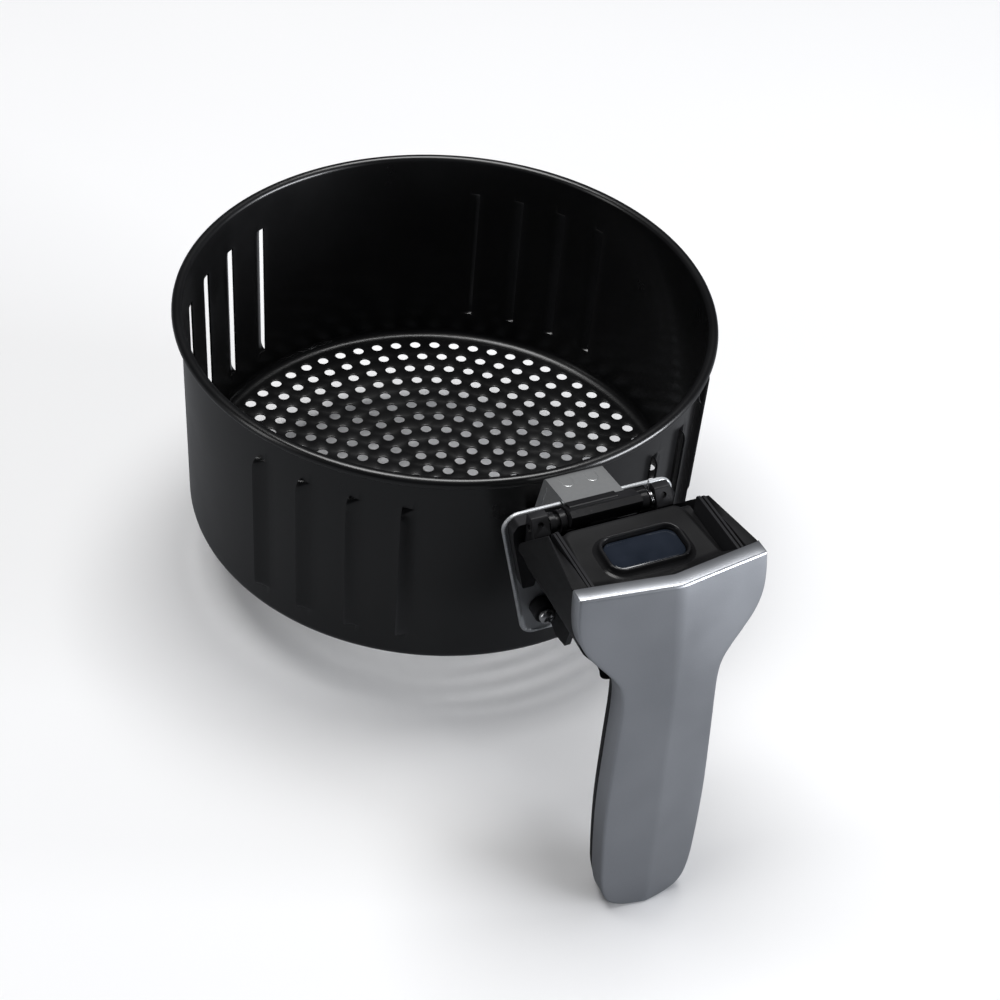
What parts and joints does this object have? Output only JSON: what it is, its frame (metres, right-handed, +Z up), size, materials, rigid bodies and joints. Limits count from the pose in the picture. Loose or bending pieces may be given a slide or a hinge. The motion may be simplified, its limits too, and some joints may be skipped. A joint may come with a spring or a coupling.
{
  "type": "air fryer basket with handle",
  "caption": "Round non-stick air fryer basket with perforated floor, louvred wall and a drop handle with a press-button pan release.",
  "frame": {"origin": "centre of the underside of the basket floor, on the basket's axis", "axes": "+Z up along the basket's axis, the handle points along -Y, +X to the right of someone facing the handle"},
  "size_m": [0.21, 0.3075, 0.1465],
  "materials": {
    "coated_steel": "black non-stick coating, semi-gloss",
    "bracket_steel": "stainless sheet, fine knurl on the flanges",
    "plate_steel": "stainless sheet with a rolled edge",
    "fastener": "zinc-plated steel",
    "spring_wire": "drawn spring wire",
    "black_plastic": "black moulded plastic, fine satin grain",
    "button_plastic": "glossy blue-black plastic",
    "silver_paint": "metallic grey lacquer on a moulded cover"
  },
  "bodies": {
    "basket_unit": {"basket": "coated_steel", "handle_bracket": "bracket_steel", "mounting_plate": "plate_steel", "weld_nuts": "fastener", "latch_carrier": "black_plastic", "stop_bushes": "black_plastic", "bush_screws": "fastener", "carrier_screws": "fastener", "head_screws": "fastener", "lever_pin": "fastener", "latch_spring": "spring_wire", "head_housing": "black_plastic", "button_guide": "black_plastic", "guide_screws": "fastener", "head_tray": "black_plastic", "button_spring": "spring_wire", "front_cover": "silver_paint", "grip_back_shell": "black_plastic", "grip_core": "plate_steel", "core_screws": "fastener", "grip_screws": "fastener"},
    "lever": {"latch_lever": "black_plastic"},
    "button": {"release_button": "button_plastic"}
  },
  "joints": [
    {"name": "button_press", "type": "slide", "parent": "basket_unit", "child": "button", "axis": [0, 0, -1], "range_m": [0, 0.0035], "stiffness_N_per_m": 300, "springref_m": -0.004, "deforming": ["button_spring"]},
    {"name": "lever_pivot", "type": "hinge", "parent": "basket_unit", "child": "lever", "pos_m": [0, -0.1325, 0.1], "axis": [1, 0, 0], "range_deg": [0, 6.6]}
  ],
  "couplings": [
    {"joint": "lever_pivot", "follows": "button_press", "rad_per_m": 32.57}
  ]
}
